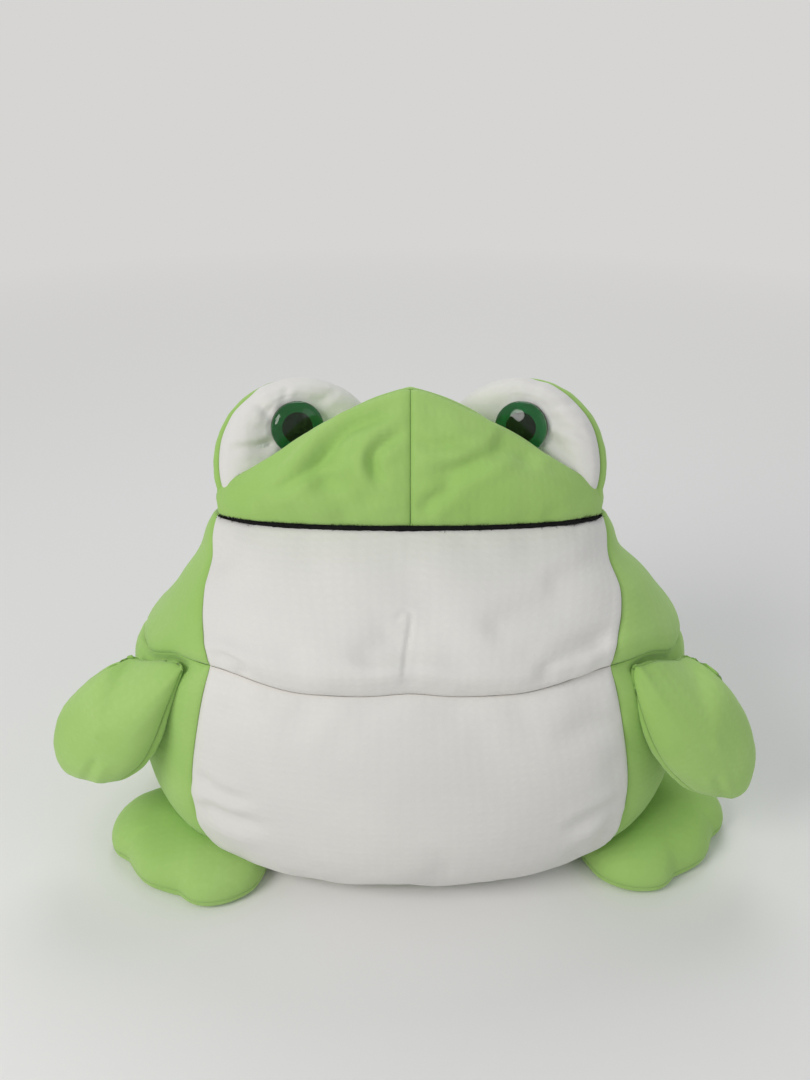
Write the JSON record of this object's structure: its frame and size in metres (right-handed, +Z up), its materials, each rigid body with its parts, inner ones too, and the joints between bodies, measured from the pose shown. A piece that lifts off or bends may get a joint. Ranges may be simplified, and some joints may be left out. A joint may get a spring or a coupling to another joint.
{
  "type": "plush frog",
  "caption": "Sitting stuffed toy frog with a wide two-part body, half-moon head with raised eye pads, plastic eyes, mouth cord, paddle arms and toed feet.",
  "frame": {"origin": "middle of the flat base, on the surface that the frog sits on", "axes": "+Z up, -Y the way the frog looks, +X its left hand side as it sits, to the right of someone facing it"},
  "size_m": [0.367, 0.2016, 0.2624],
  "materials": {
    "green_knit": "fine brushed jersey knit, lime green",
    "white_knit": "fine brushed jersey knit, ivory",
    "stuffing": "loose polyester fibre fill",
    "black_cord": "fuzzy black yarn cord",
    "eye_lens": "clear green plastic dome, polished",
    "eye_green": "deep green ring",
    "eye_black": "black plastic, polished",
    "washer_white": "plain white plastic"
  },
  "bodies": {
    "body": {"chest_panel": "white_knit", "belly_panel": "white_knit", "side_upper_left": "green_knit", "side_upper_right": "green_knit", "side_lower_left": "green_knit", "side_lower_right": "green_knit", "base_panel": "green_knit", "body_stuffing": "stuffing", "snout_panel_left": "green_knit", "snout_panel_right": "green_knit", "crown_panel": "green_knit", "head_stuffing": "stuffing", "mouth_cord": "black_cord", "lobe_face_left": "white_knit", "lobe_face_right": "white_knit", "lobe_back_left": "green_knit", "lobe_back_right": "green_knit", "lobe_stuffing_left": "stuffing", "lobe_stuffing_right": "stuffing", "eye_lens_left": "eye_lens", "eye_lens_right": "eye_lens", "eye_iris_left": "eye_green", "eye_iris_right": "eye_green", "eye_pupil_left": "eye_black", "eye_pupil_right": "eye_black", "eye_washer_left": "washer_white", "eye_washer_right": "washer_white"},
    "arm_left": {"arm_front_left": "green_knit", "arm_back_left": "green_knit", "arm_stuffing_left": "stuffing"},
    "arm_right": {"arm_front_right": "green_knit", "arm_back_right": "green_knit", "arm_stuffing_right": "stuffing"},
    "foot_left": {"foot_top_left": "green_knit", "foot_sole_left": "green_knit", "foot_stuffing_left": "stuffing"},
    "foot_right": {"foot_top_right": "green_knit", "foot_sole_right": "green_knit", "foot_stuffing_right": "stuffing"}
  },
  "joints": [
    {"name": "shoulder_left", "type": "hinge", "parent": "body", "child": "arm_left", "pos_m": [-0.12143, -0.05973, 0.12346], "axis": [-0.726, 0.6792, -0.1076], "range_deg": [0, 65]},
    {"name": "shoulder_right", "type": "hinge", "parent": "body", "child": "arm_right", "pos_m": [0.12143, -0.05973, 0.12346], "axis": [-0.726, -0.6792, 0.1076], "range_deg": [0, 65]},
    {"name": "hip_left", "type": "hinge", "parent": "body", "child": "foot_left", "pos_m": [-0.12057, -0.05663, 0.02592], "axis": [-0.5854, 0.8107, 0], "range_deg": [0, 25]},
    {"name": "hip_right", "type": "hinge", "parent": "body", "child": "foot_right", "pos_m": [0.13028, -0.03916, 0.02471], "axis": [-0.3753, -0.9269, 0], "range_deg": [0, 25]}
  ]
}
